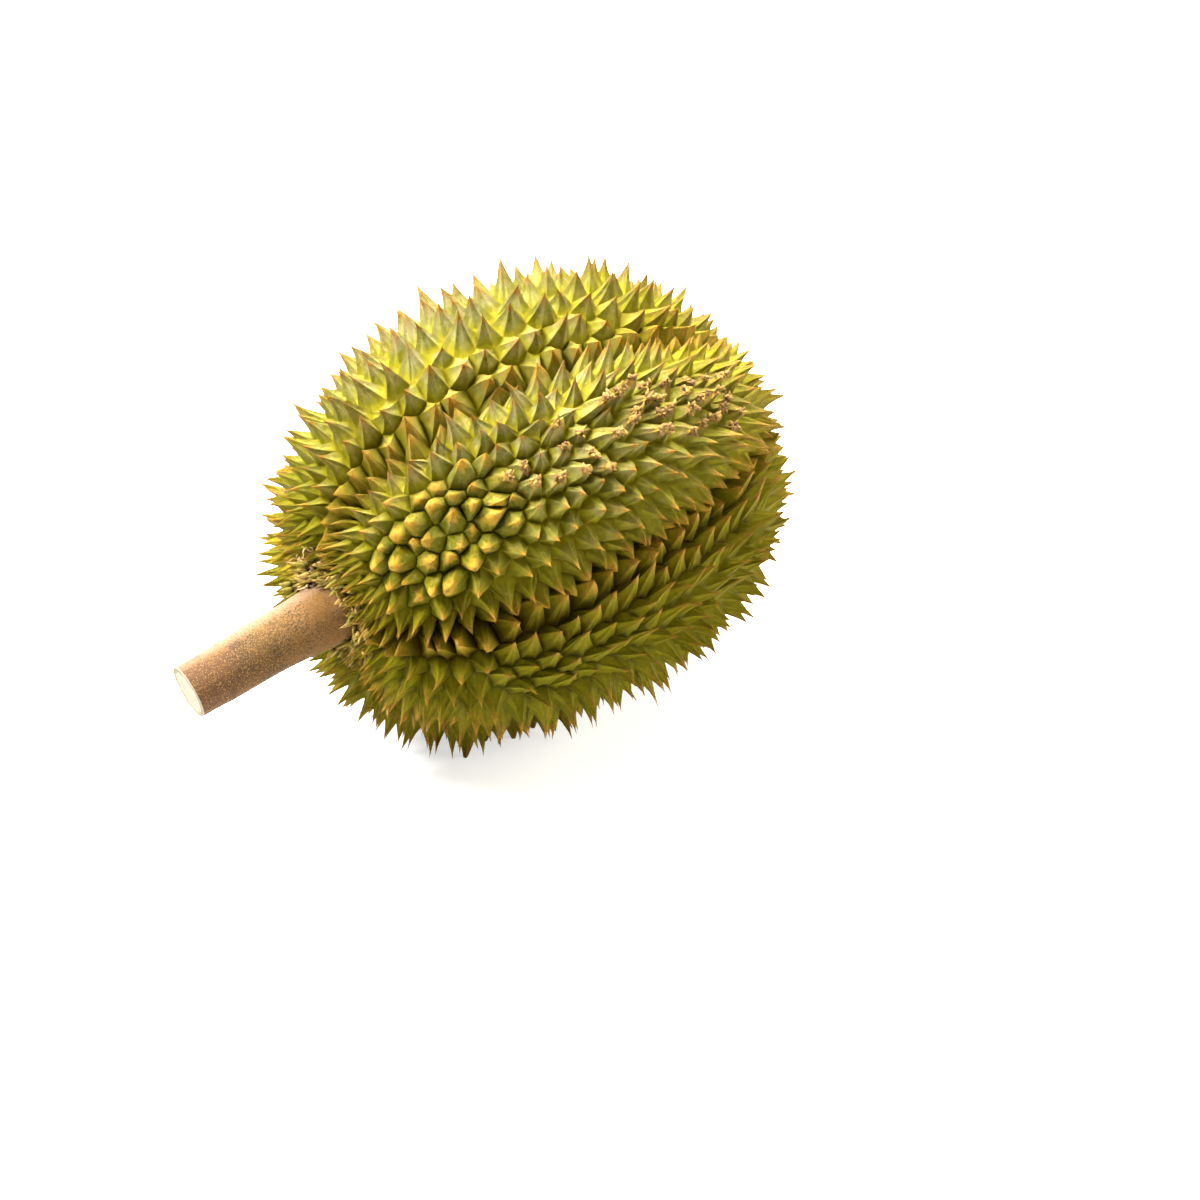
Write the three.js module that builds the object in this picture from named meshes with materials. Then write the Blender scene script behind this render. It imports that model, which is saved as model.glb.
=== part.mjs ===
// A whole durian lying on its side: one thorny husk and the cut stalk that it hung by.
// Millimetres, +Z up. The origin is on the surface that the fruit lies on, below the middle of its box.
// The stalk points towards -X. The husk is one closed faceted skin: the body's surface is divided into
// cells, each thorn is a pyramid on its own cell, and neighbouring thorns share the edges of their cells.

import * as THREE from "three";
import { ConvexHull } from "three/addons/math/ConvexHull.js";

// ---- Driving dimensions, in millimetres and degrees ----

const body = {
  radius: 85, // at the middle, to the crest of a lobe, without thorns
  axisTilt: 8, // the stalk's end lies this much lower than the far end
};
// length is from the middle to that end. A taper of 1 is an ellipse, and less is blunter.
const ends = {
  stalk: { length: 117, taper: 1.1, dentDepth: 23, dentRadius: 37 },
  far: { length: 104, taper: 0.8, dentDepth: 5, dentRadius: 18 },
};

// The five seams between the lobes, by their angle round the axis from the top, towards +Y.
// twist is how far a seam has turned by each end of the fruit.
const seams = [
  { angle: -15, twist: 10 },
  { angle: 56, twist: 6 },
  { angle: 142, twist: -4 },
  { angle: 214, twist: 3 },
  { angle: 277, twist: -6 },
];
const seamDepth = 0.27; // of the radius, at the middle of the fruit
const seamReach = 0.4; // 0 keeps that depth to the ends, and more fades it there
const lobeFullness = 0.7; // 0 is a plain arch across a lobe, and more has a broader crest

const thorn = {
  spacing: 11.7,
  height: 15.6,
  heightVariation: 0.12,
  seamHeight: 0.74, // of the full height, beside a seam
  stray: 0.17, // how far a tip strays at random, of the spacing
  leastSplay: 0.2, // how much every thorn points away from the fruit's axis, so none leans on the stalk
  spread: 0.8, // how far a thorn beside a seam turns from its own slope to the fruit's
};
// The thorns at each end, and how many radians of latitude away from it they reach full size.
const endThorns = {
  stalk: { spacing: 3.9, spacingReach: 0.72, height: 6, heightReach: 0.4 },
  far: { spacing: 7.2, spacingReach: 0.9, height: 9.5, heightReach: 0.9 },
};
// Patches of closer and shorter thorns, by their middle, and how many radians they reach from it.
const closePatches = [
  { latitude: -33, turn: -47, reach: 0.3, spacing: 8.4, height: 10 },
  { latitude: 32, turn: -56, reach: 0.76, spacing: 8.2, height: 12 },
  { latitude: 12, turn: -110, reach: 0.7, spacing: 8.7, height: 12.5 },
];
const seamRows = { from: -66, to: 69, offset: 0.52, pitch: 0.98 }; // latitudes, and parts of the spacing

const socket = { radius: 13.6, depth: 6, ringThorns: 26, ringPitch: 3.8 };
const stalk = {
  length: 73, // that shows
  cutRadius: 11,
  baseRadius: 13,
  flareLength: 30,
  gap: 0.3,
  sides: 36,
  profileSteps: 8,
  yaw: 5.5, // from straight along -X, towards +Y
  dip: 15, // below level
  rimChamfer: 0.6,
};

const wornDepth = 6.4; // how much of the lowest thorns is worn flat by lying on them
const seed = 20;
const relaxing = { passes: 36, reach: 0.72, step: 0.7 };

// ---- Small helpers ----

const radians = THREE.MathUtils.degToRad;
const fullTurn = 2 * Math.PI;
const random = makeRandom(seed);

function makeRandom(start) {
  let state = start;
  return () => {
    state = (state + 0x6d2b79f5) | 0;
    let mixed = Math.imul(state ^ (state >>> 15), 1 | state);
    mixed = (mixed + Math.imul(mixed ^ (mixed >>> 7), 61 | mixed)) ^ mixed;
    return ((mixed ^ (mixed >>> 14)) >>> 0) / 2 ** 32;
  };
}

const bell = (x) => Math.exp(-x * x);
const wrapped = (angle) => ((angle % fullTurn) + fullTurn) % fullTurn;

// ---- The body's surface, in the fruit's own frame: +X to the far end, +Z the top ----

// The surface is stretched from a unit sphere, and a place on it is named by its direction there.
const latitudeOf = (direction) => Math.asin(THREE.MathUtils.clamp(direction.x, -1, 1));
const turnOf = (direction) => Math.atan2(direction.y, direction.z);

function directionAt(latitude, turn) {
  const ring = Math.cos(latitude);
  return new THREE.Vector3(Math.sin(latitude), ring * Math.sin(turn), ring * Math.cos(turn));
}

const seamTurn = (seam, latitude) => radians(seam.angle - seam.twist * Math.sin(latitude));

// 0 on a seam and 1 on the crest of a lobe.
function lobeShare(direction) {
  const latitude = latitudeOf(direction);
  const turns = seams.map((seam) => seamTurn(seam, latitude));
  const pastSeam = turns.map((turn) => wrapped(turnOf(direction) - turn));
  const last = pastSeam.indexOf(Math.min(...pastSeam));
  const width = wrapped(turns[(last + 1) % seams.length] - turns[last]);
  const arch = Math.sin((Math.PI * pastSeam[last]) / width);
  return arch * (1 + lobeFullness * (1 - arch));
}

function surfaceAt(direction, lobed = true) {
  const ring = Math.sqrt(Math.max(1 - direction.x ** 2, 0));
  const end = direction.x < 0 ? ends.stalk : ends.far;
  const cut = lobed ? seamDepth * ring ** seamReach * (1 - lobeShare(direction)) : 0;
  const radius = body.radius * ring ** end.taper * (1 - cut);
  const dent = Math.sign(direction.x) * end.dentDepth * bell(radius / end.dentRadius);
  const along = end.length * direction.x - dent;
  const turn = turnOf(direction);
  return new THREE.Vector3(along, radius * Math.sin(turn), radius * Math.cos(turn));
}

function normalAt(direction, lobed = true) {
  const step = 0.02;
  const aside = Math.abs(direction.x) < 0.9 ? new THREE.Vector3(1, 0, 0) : new THREE.Vector3(0, 0, 1);
  const across = aside.cross(direction).normalize();
  const along = direction.clone().cross(across);
  const chord = (axis) => {
    const ahead = surfaceAt(direction.clone().addScaledVector(axis, step).normalize(), lobed);
    return ahead.sub(surfaceAt(direction.clone().addScaledVector(axis, -step).normalize(), lobed));
  };
  return chord(across).cross(chord(along)).normalize();
}

// ---- Where the thorns stand ----

const fromEnd = (direction) => Math.PI / 2 - Math.abs(latitudeOf(direction));

// A measure of the thorns at a place, once each close patch has brought it down to its own.
function patched(direction, measure, value) {
  return closePatches.reduce((current, patch) => {
    const middle = directionAt(radians(patch.latitude), radians(patch.turn));
    const share = bell(direction.angleTo(middle) / patch.reach);
    return current + (Math.min(patch[measure], current) - current) * share;
  }, value);
}

function spacingAt(direction) {
  const end = direction.x < 0 ? endThorns.stalk : endThorns.far;
  const share = bell(fromEnd(direction) / end.spacingReach);
  return patched(direction, "spacing", thorn.spacing - (thorn.spacing - end.spacing) * share);
}

function heightAt(direction) {
  const end = direction.x < 0 ? endThorns.stalk : endThorns.far;
  const share = bell(fromEnd(direction) / end.heightReach);
  return patched(direction, "height", thorn.height - (thorn.height - end.height) * share);
}

// A ring of places at one distance from the axis, at the stalk's end.
function stalkRing(radius, offset) {
  const latitude = -Math.acos((radius / body.radius) ** (1 / ends.stalk.taper));
  return Array.from({ length: socket.ringThorns }, (_, i) =>
    directionAt(latitude, (fullTurn * (i + offset)) / socket.ringThorns),
  );
}

// The cells of these sites together make the socket, and a ring of thorns stands round its rim.
function socketSites() {
  const inner = stalkRing(socket.radius - socket.ringPitch / 2, 0);
  return [directionAt(-Math.PI / 2, 0), ...inner];
}

// A row of thorns on each side of a seam, set like the teeth of a zip.
function seamSites(seam) {
  const sites = [];
  for (const side of [-1, 1]) {
    let latitude = radians(seamRows.from);
    while (latitude < radians(seamRows.to)) {
      const turn = seamTurn(seam, latitude);
      const onSeam = directionAt(latitude, turn);
      const spacing = spacingAt(onSeam);
      const { y, z } = surfaceAt(onSeam);
      sites.push(directionAt(latitude, turn + (side * seamRows.offset * spacing) / Math.hypot(y, z)));
      const steps = side > 0 && latitude === radians(seamRows.from) ? 1.5 : 1;
      latitude += (steps * seamRows.pitch * spacing) / ends.far.length;
    }
  }
  return sites;
}

// The rest start on an even spiral, which is then thinned out at random to leave each its spacing.
function spiralSites() {
  const sites = [];
  const bands = 20000;
  const goldenTurn = Math.PI * (3 - Math.sqrt(5));
  const closest = endThorns.stalk.spacing;
  const cellArea = (Math.sqrt(3) / 2) * closest ** 2;
  let cells = 0;
  let started = 0;
  let last = surfaceAt(directionAt(-Math.PI / 2, 0), false);
  for (let band = 1; band < bands; band += 1) {
    const latitude = Math.PI * (band / bands - 0.5);
    const here = surfaceAt(directionAt(latitude, 0), false);
    cells += (fullTurn * here.z * here.distanceTo(last)) / cellArea;
    last = here;
    for (; started + 1 < cells; started += 1) {
      const site = directionAt(latitude, started * goldenTurn);
      if (random() < (closest / spacingAt(site)) ** 2) {
        sites.push(site);
      }
    }
  }
  return sites;
}

// The free sites push off every neighbour until they lie evenly.
function relax(fixed, free) {
  const all = [...fixed, ...free];
  const stretch = new THREE.Vector3(ends.far.length, body.radius, body.radius);
  for (let pass = 0; pass < relaxing.passes; pass += 1) {
    const places = all.map((site) => surfaceAt(site, false));
    const spacings = all.map(spacingAt);
    for (let i = fixed.length; i < all.length; i += 1) {
      const push = new THREE.Vector3();
      places.forEach((other, j) => {
        const reach = relaxing.reach * (spacings[i] + spacings[j]);
        const apart = places[i].distanceTo(other);
        if (apart > 0 && apart < reach) {
          const force = (spacings[i] * (1 - apart / reach) ** 2) / apart;
          push.addScaledVector(places[i].clone().sub(other), force);
        }
      });
      all[i] = all[i].clone().addScaledVector(push.divide(stretch), relaxing.step).normalize();
    }
  }
  return all;
}

function thornSites() {
  const rimRing = stalkRing(socket.radius + socket.ringPitch / 2, 0.5);
  const fixed = [...socketSites(), ...rimRing, ...seams.flatMap(seamSites)];
  const places = fixed.map((site) => surfaceAt(site, false));
  const outside = spiralSites().filter((site) => site.x > rimRing[0].x);
  const free = outside.filter((site) => {
    const here = surfaceAt(site, false);
    return places.every((place) => place.distanceTo(here) > relaxing.reach * spacingAt(site));
  });
  return relax(fixed, free);
}

// ---- The cells between the sites ----

// A cell is the list of its corners, in order round its site as seen from outside. The corners lie in
// the triangles that the convex hull of the sites, on their sphere, is made of.
function cellsOf(sites) {
  const points = sites.map((site) => site.clone());
  const indexOf = new Map(points.map((point, i) => [point, i]));
  const corners = [];
  const steps = sites.map(() => new Map());
  for (const face of new ConvexHull().setFromPoints(points).faces) {
    const around = [0, 1, 2].map((i) => indexOf.get(face.getEdge(i).head().point));
    const middle = around.reduce((sum, i) => sum.add(sites[i]), new THREE.Vector3()).normalize();
    const corner = corners.push(middle.lerp(face.normal, 0.5).normalize()) - 1;
    around.forEach((site, i) => {
      steps[site].set(around[(i + 1) % 3], { next: around[(i + 2) % 3], corner });
    });
  }
  return { corners, cells: steps.map(walkRound) };
}

function walkRound(steps) {
  const loop = [];
  let at = steps.keys().next().value;
  while (loop.length < steps.size) {
    loop.push(steps.get(at).corner);
    at = steps.get(at).next;
  }
  return loop;
}

// The outline of several neighbouring cells taken together. An edge that two of them share is inside.
function outlineOf(cells) {
  const edges = cells.flatMap((cell) => cell.map((from, i) => [from, cell[(i + 1) % cell.length]]));
  const known = new Set(edges.map(([from, to]) => `${from} ${to}`));
  const outer = new Map(edges.filter(([from, to]) => !known.has(`${to} ${from}`)));
  const loop = [outer.keys().next().value];
  while (loop.length < outer.size) {
    loop.push(outer.get(loop.at(-1)));
  }
  return loop;
}

// ---- The husk ----

// A closed surface made point by point and face by face.
class Skin {
  points = [];
  faces = [];

  add(point) {
    return this.points.push(point) - 1;
  }

  fan(ring, centre) {
    ring.forEach((id, i) => this.faces.push([id, ring[(i + 1) % ring.length], centre]));
  }

  band(ring, inner) {
    ring.forEach((id, i) => {
      const next = (i + 1) % ring.length;
      this.faces.push([id, ring[next], inner[next]], [id, inner[next], inner[i]]);
    });
  }

  toGeometry() {
    const geometry = new THREE.BufferGeometry().setFromPoints(this.points);
    geometry.setIndex(this.faces.flat());
    return geometry;
  }
}

const middleOf = (points) =>
  points.reduce((sum, point) => sum.add(point), new THREE.Vector3()).divideScalar(points.length);

function tipAt(site) {
  const bySeam = 1 - THREE.MathUtils.smoothstep(lobeShare(site), 0.2, 0.75);
  const fullHeight = heightAt(site) * (1 + thorn.heightVariation * (2 * random() - 1));
  const outward = normalAt(site).lerp(normalAt(site, false), thorn.spread * bySeam).normalize();
  const fromAxis = new THREE.Vector3(0, site.y, site.z).normalize();
  const shortfall = Math.max(thorn.leastSplay - outward.dot(fromAxis), 0);
  outward.addScaledVector(fromAxis, shortfall).normalize();
  const stray = new THREE.Vector3(random() - 0.5, random() - 0.5, random() - 0.5);
  return surfaceAt(site)
    .addScaledVector(outward, fullHeight * (1 - (1 - thorn.seamHeight) * bySeam))
    .addScaledVector(stray, 2 * thorn.stray * spacingAt(site));
}

// A thorn that would reach below the surface the fruit lies on ends in a flat there instead.
function addThorn(skin, ring, tip) {
  if (tip.z >= 0) {
    skin.fan(ring, skin.add(tip));
    return;
  }
  const flat = ring.map((id) => {
    const corner = skin.points[id];
    const point = corner.clone().lerp(tip, corner.z / (corner.z - tip.z));
    return point.setZ(0);
  });
  const flatIds = flat.map((point) => skin.add(point));
  skin.band(ring, flatIds);
  skin.fan(flatIds, skin.add(middleOf(flat)));
}

// A straight round well along the stalk. Its rim first moves out or in to a true circle.
function addSocket(skin, rim, seat) {
  const floor = rim.map((id) => {
    const fromBase = skin.points[id].clone().sub(seat.base);
    const height = fromBase.dot(seat.axis);
    const outward = fromBase.addScaledVector(seat.axis, -height).setLength(socket.radius);
    const onFloor = seat.base.clone().add(outward).addScaledVector(seat.axis, -socket.depth);
    skin.points[id] = onFloor.clone().addScaledVector(seat.axis, height + socket.depth);
    return onFloor;
  });
  const floorIds = floor.map((point) => skin.add(point));
  skin.band(rim, floorIds);
  skin.fan(floorIds, skin.add(middleOf(floor)));
}

function layHusk() {
  const sites = thornSites();
  const { corners, cells } = cellsOf(sites);
  const turn = new THREE.Matrix4().makeRotationY(-radians(body.axisTilt));
  const inSocket = socketSites().length;
  const tips = sites.map((site) => tipAt(site).applyMatrix4(turn));
  const floor = Math.min(...tips.map((tip) => tip.z)) + wornDepth;
  const lift = turn.premultiply(new THREE.Matrix4().makeTranslation(0, 0, -floor));

  const skin = new Skin();
  corners.forEach((corner) => skin.add(surfaceAt(corner).applyMatrix4(lift)));
  const seat = {
    base: surfaceAt(directionAt(-Math.PI / 2, 0)).applyMatrix4(lift),
    axis: stalkAxis(),
  };
  addSocket(skin, outlineOf(cells.slice(0, inSocket)), seat);
  cells.slice(inSocket).forEach((cell, i) => {
    const tip = tips[i + inSocket];
    addThorn(skin, cell, tip.setZ(tip.z - floor));
  });
  return { geometry: skin.toGeometry(), seat };
}

// ---- The stalk ----

function stalkAxis() {
  const level = Math.cos(radians(stalk.dip));
  return new THREE.Vector3(
    -level * Math.cos(radians(stalk.yaw)),
    level * Math.sin(radians(stalk.yaw)),
    -Math.sin(radians(stalk.dip)),
  );
}

// Straight in its socket, a short flare above it, then nearly straight to the cut end.
function stalkGeometry() {
  const start = socket.depth - stalk.gap;
  const profile = [new THREE.Vector2(0, 0), new THREE.Vector2(stalk.baseRadius, 0)];
  for (let step = 0; step <= stalk.profileSteps; step += 1) {
    const above = (stalk.length - stalk.rimChamfer) * (step / stalk.profileSteps) ** 1.5;
    const radius = stalk.cutRadius + (stalk.baseRadius - stalk.cutRadius) * bell(above / stalk.flareLength);
    profile.push(new THREE.Vector2(radius, start + above));
  }
  profile.push(new THREE.Vector2(stalk.cutRadius - stalk.rimChamfer, start + stalk.length));
  profile.push(new THREE.Vector2(0, start + stalk.length));
  return new THREE.LatheGeometry(profile, stalk.sides);
}

// ---- The whole fruit ----

const finishes = {
  husk: new THREE.MeshStandardMaterial({ color: 0x8d8a31, roughness: 0.55, metalness: 0 }),
  stalk: new THREE.MeshStandardMaterial({ color: 0x9a7452, roughness: 0.85, metalness: 0 }),
};

function namedMesh(name, geometry, material) {
  const mesh = new THREE.Mesh(geometry, material);
  mesh.name = name;
  return mesh;
}

function buildDurian() {
  const durian = new THREE.Group();
  const { geometry, seat } = layHusk();
  const husk = namedMesh("husk", geometry, finishes.husk);
  const hungBy = namedMesh("stalk", stalkGeometry(), finishes.stalk);
  hungBy.quaternion.setFromUnitVectors(new THREE.Vector3(0, 1, 0), seat.axis);
  hungBy.position.copy(seat.base).addScaledVector(seat.axis, stalk.gap - socket.depth);
  durian.add(husk, hungBy);

  durian.updateMatrixWorld(true);
  const centre = new THREE.Box3().setFromObject(durian, true).getCenter(new THREE.Vector3());
  durian.children.forEach((mesh) => mesh.position.sub(centre.setZ(0)));
  return durian;
}

export default buildDurian();
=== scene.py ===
import math
import random

import bpy
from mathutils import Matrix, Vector, noise
from mathutils.bvhtree import BVHTree


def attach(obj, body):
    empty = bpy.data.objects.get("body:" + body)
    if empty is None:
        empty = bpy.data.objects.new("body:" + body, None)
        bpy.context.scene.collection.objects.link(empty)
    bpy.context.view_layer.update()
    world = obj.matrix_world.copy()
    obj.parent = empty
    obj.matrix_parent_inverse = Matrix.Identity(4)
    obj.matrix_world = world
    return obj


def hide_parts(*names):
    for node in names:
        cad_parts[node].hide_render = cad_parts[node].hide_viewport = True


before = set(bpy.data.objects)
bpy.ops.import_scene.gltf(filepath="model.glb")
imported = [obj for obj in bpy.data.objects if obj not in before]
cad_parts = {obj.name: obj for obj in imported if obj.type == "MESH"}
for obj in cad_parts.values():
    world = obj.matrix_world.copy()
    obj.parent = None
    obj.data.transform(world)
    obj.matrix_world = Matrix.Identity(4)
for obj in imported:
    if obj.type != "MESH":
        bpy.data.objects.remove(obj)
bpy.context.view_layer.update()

mm = 0.001

# The fruit lies with its stalk end low: its own axis runs from the far end to the stalk end.
fruit = {
    "centre": Vector((25.8, -1.95, 96.04)) * mm,
    "dip": 8.0,             # degrees that the stalk end hangs down
    "halfLength": 110 * mm,
    "halfWidth": 88 * mm,
    "seed": 11,
}
dip = math.radians(fruit["dip"])
towardStalk = Vector((-math.cos(dip), 0, -math.sin(dip)))
fruitTop = Vector((towardStalk.z, 0, -towardStalk.x))


def randomWay(rng):
    return Vector((rng.gauss(0, 1), rng.gauss(0, 1), rng.gauss(0, 1))).normalized()


def smooth(low, high, value):
    x = min(max((value - low) / (high - low), 0.0), 1.0)
    return x * x * (3 - 2 * x)


def mix(a, b, share):
    return a + (b - a) * share


# Where a point is on the fruit: along it (1 at the stalk end, -1 at the far end) and its angle round
# it in degrees (0 on top, 90 on the +Y side).
def placeOnFruit(point):
    fromCentre = point - fruit["centre"]
    along = fromCentre.dot(towardStalk) / fruit["halfLength"]
    angle = math.degrees(math.atan2(fromCentre.y, fromCentre.dot(fruitTop)))
    return along, angle


def outwardAt(point):
    fromCentre = point - fruit["centre"]
    along = towardStalk * fromCentre.dot(towardStalk)
    across = fromCentre - along
    return (along / fruit["halfLength"] ** 2 + across / fruit["halfWidth"] ** 2).normalized()


def addObject(name, data):
    made = bpy.data.objects.new(name, data)
    bpy.context.scene.collection.objects.link(made)
    return made


def addNode(tree, kind, inputs=None, **settings):
    node = tree.nodes.new("ShaderNode" + kind)
    for name, value in settings.items():
        setattr(node, name, value)
    for name, value in (inputs or {}).items():
        if isinstance(value, bpy.types.NodeSocket):
            tree.links.new(value, node.inputs[name])
        else:
            node.inputs[name].default_value = value
    return node


def mapTo(tree, value, fromLow, fromHigh, toLow=0.0, toHigh=1.0):
    node = addNode(tree, "MapRange", {
        "Value": value, "From Min": fromLow, "From Max": fromHigh, "To Min": toLow, "To Max": toHigh,
    })
    return node.outputs["Result"]


def combine(tree, how, first, second):
    return addNode(tree, "Math", {0: first, 1: second}, operation=how).outputs[0]


def multiply(tree, first, second):
    return combine(tree, "MULTIPLY", first, second)


def add(tree, first, second):
    return combine(tree, "ADD", first, second)


def addNoise(tree, place, scale, detail, roughness=0.5):
    return addNode(tree, "TexNoise", {
        "Vector": place, "Scale": scale, "Detail": detail, "Roughness": roughness,
    }).outputs["Fac"]


def addCells(tree, place, scale):
    return addNode(tree, "TexVoronoi", {"Vector": place, "Scale": scale}).outputs["Distance"]


def addBump(tree, shader, grain, strength, distance):
    bump = addNode(tree, "Bump", {"Height": grain, "Strength": strength, "Distance": distance})
    tree.links.new(bump.outputs["Normal"], shader.inputs["Normal"])


def blendColours(tree, share, first, second):
    node = addNode(tree, "Mix", data_type="RGBA")
    for socket, value in ((node.inputs[0], share), (node.inputs[6], first), (node.inputs[7], second)):
        if isinstance(value, bpy.types.NodeSocket):
            tree.links.new(value, socket)
        else:
            socket.default_value = value
    return node.outputs[2]


def attribute(tree, name):
    return addNode(tree, "Attribute", attribute_name=name).outputs["Fac"]


def startMaterial(name):
    material = bpy.data.materials.new(name)
    material.use_nodes = True
    tree = material.node_tree
    return material, tree, tree.nodes["Principled BSDF"]


view = {
    "target": Vector((49.45, -20.42, 51.4)) * mm,
    "azimuth": -38.0,
    "elevation": 30.0,
    "distance": 1.4,
    "lens": 100.0,
    "sensor": 36.0,
}


def addCamera():
    azimuth, elevation = math.radians(view["azimuth"]), math.radians(view["elevation"])
    back = Vector((
        math.sin(azimuth) * math.cos(elevation),
        -math.cos(azimuth) * math.cos(elevation),
        math.sin(elevation),
    ))
    data = bpy.data.cameras.new("camera")
    data.lens = view["lens"]
    data.sensor_width = view["sensor"]
    camera = addObject("camera", data)
    camera.location = view["target"] + back * view["distance"]
    camera.rotation_euler = back.to_track_quat("Z", "Y").to_euler()
    bpy.context.scene.camera = camera


studio = {
    "floorReach": 6.0,
    "floorColour": (0.66, 0.66, 0.67, 1),
    "floorRoughness": 0.9,
    "floorSheen": 0.2,
    "floorGlow": 0.55,          # as the camera sees it; it lights nothing
    "roomColour": (1.0, 0.97, 0.84, 1),
    "roomStrength": 0.71,
    # each lamp: place, size in metres, power in watts, colour
    "lamps": {
        "windowLight": (Vector((-0.8, 0.5, 1.3)), 0.7, 104.0, (1.0, 0.97, 0.91)),
        "skyLight": (Vector((0.3, 0.45, 1.5)), 1.2, 175.0, (1.0, 0.98, 0.94)),
        "sideLight": (Vector((1.1, -0.7, 0.5)), 1.0, 30.0, (1.0, 0.96, 0.8)),
    },
    "aimedAt": Vector((0.0, 0.0, 0.09)),
}


def addFloor():
    reach = studio["floorReach"]
    corners = [(-reach, -reach, 0), (reach, -reach, 0), (reach, reach, 0), (-reach, reach, 0)]
    mesh = bpy.data.meshes.new("floor")
    mesh.from_pydata(corners, [], [(0, 1, 2, 3)])
    paper, tree, shader = startMaterial("whitePaper")
    shader.inputs["Base Color"].default_value = studio["floorColour"]
    shader.inputs["Roughness"].default_value = studio["floorRoughness"]
    shader.inputs["Specular IOR Level"].default_value = studio["floorSheen"]
    shader.inputs["Emission Color"].default_value = (1, 1, 1, 1)
    seen = addNode(tree, "LightPath").outputs["Is Camera Ray"]
    tree.links.new(multiply(tree, seen, studio["floorGlow"]), shader.inputs["Emission Strength"])
    mesh.materials.append(paper)
    floor = addObject("floor", mesh)


def addLight():
    for name, (place, size, power, colour) in studio["lamps"].items():
        light = bpy.data.lights.new(name, "AREA")
        light.shape = "DISK"
        light.size = size
        light.energy = power
        light.color = colour
        lamp = addObject(name, light)
        lamp.location = place
        lamp.rotation_euler = (place - studio["aimedAt"]).to_track_quat("Z", "Y").to_euler()

    world = bpy.data.worlds.new("paleRoom")
    world.use_nodes = True
    background = world.node_tree.nodes["Background"]
    background.inputs["Color"].default_value = studio["roomColour"]
    background.inputs["Strength"].default_value = studio["roomStrength"]
    bpy.context.scene.world = world
    bpy.context.scene.view_settings.view_transform = "Standard"


addCamera()
addFloor()
addLight()
print("camera, floor and light are in place")


stalkSeat = {
    "direction": Vector((-0.96155, 0.09261, -0.25882)),
    "radius": 16.3 * mm,        # of the well's floor, with some to spare
    "reach": 1.5 * mm,          # how far that floor may be from the stalk's end, along the stalk
    "deep": 60 * mm,            # how far in from there the stalk's axis no longer counts
    "wornBelow": 0.02 * mm,     # points this low are worn flat by what the fruit lies on
}


# The stalk's line: the middle of its seated end and the direction it runs out in.
def stalkLine():
    direction = stalkSeat["direction"]
    points = [vertex.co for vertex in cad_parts["stalk"].data.vertices]
    middle = sum(points, Vector()) / len(points)
    heights = [(point - middle).dot(direction) for point in points]
    return middle + direction * min(heights), direction, max(heights) - min(heights)


def mergedHusk():
    places, points, ids = {}, [], []
    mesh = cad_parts["husk"].data
    for vertex in mesh.vertices:
        key = tuple(round(c * 1e6) for c in vertex.co)
        if key not in places:
            places[key] = len(points)
            points.append(vertex.co.copy())
        ids.append(places[key])
    return points, [tuple(ids[i] for i in face.vertices) for face in mesh.polygons]


# Sorts the husk's points into thorn tips, the corners that thorns share, points worn flat under
# the fruit, and the floor of the stalk's well. It starts from the topmost tip and works round.
def sortPoints(points, triangles):
    base, direction, _ = stalkLine()
    kinds = {}
    for i, point in enumerate(points):
        fromBase = point - base
        level = abs(fromBase.dot(direction)) < stalkSeat["reach"]
        if point.z < stalkSeat["wornBelow"]:
            kinds[i] = "worn"
        elif level and fromBase.length < stalkSeat["radius"]:
            kinds[i] = "well"
    kinds[max(range(len(points)), key=lambda i: points[i].z)] = "tip"
    waiting = list(triangles)
    while waiting:
        later = []
        for triangle in waiting:
            known = [kinds.get(i) for i in triangle]
            if any(kind in ("tip", "worn", "well") for kind in known):
                for i in triangle:
                    kinds.setdefault(i, "corner")
            elif known.count("corner") == 2:
                kinds[triangle[known.index(None)]] = "tip"
            else:
                later.append(triangle)
        if len(later) == len(waiting):
            raise RuntimeError(f"{len(later)} husk faces were not reached")
        waiting = later
    return kinds


# The worn points of each flat, found from any one of them.
def wornGroups(triangles, kinds):
    group = {}
    for triangle in triangles:
        worn = [i for i in triangle if kinds[i] == "worn"]
        if not worn:
            continue
        merged = set(worn).union(*(group.get(i, {i}) for i in worn))
        for i in merged:
            group[i] = merged
    return group


# Gathers each thorn's sides, foot and tip, and the triangles of the stalk's well.
def layThorns(points, triangles, kinds):
    worn = wornGroups(triangles, kinds)
    thorns, well = {}, []
    for triangle in triangles:
        found = [kinds[i] for i in triangle]
        if "well" in found:
            well.append(triangle)
            continue
        if found.count("corner") != 2:
            continue
        k = next(i for i in range(3) if found[i] != "corner")
        tip = triangle[k] if found[k] == "tip" else min(worn[triangle[k]])
        thorn = thorns.setdefault(tip, {"sides": [], "worn": found[k] == "worn"})
        thorn["sides"].append((triangle[(k + 1) % 3], triangle[(k + 2) % 3]))
    for tip, thorn in thorns.items():
        corners = [points[a] for a, b in thorn["sides"]]
        thorn["base"] = sum(corners, Vector()) / len(corners)
        thorn["width"] = 2 * sum((c - thorn["base"]).length for c in corners) / len(corners)
        if thorn["worn"]:
            flat = [points[i] for i in worn[tip]]
            middle = sum(flat, Vector()) / len(flat)
            thorn["tip"] = middle + (middle - thorn["base"]) * huskShape["wornPast"]
        else:
            thorn["tip"] = points[tip].copy()
        thorn["along"], thorn["angle"] = placeOnFruit(thorn["base"])
    return list(thorns.values()), well


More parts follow.
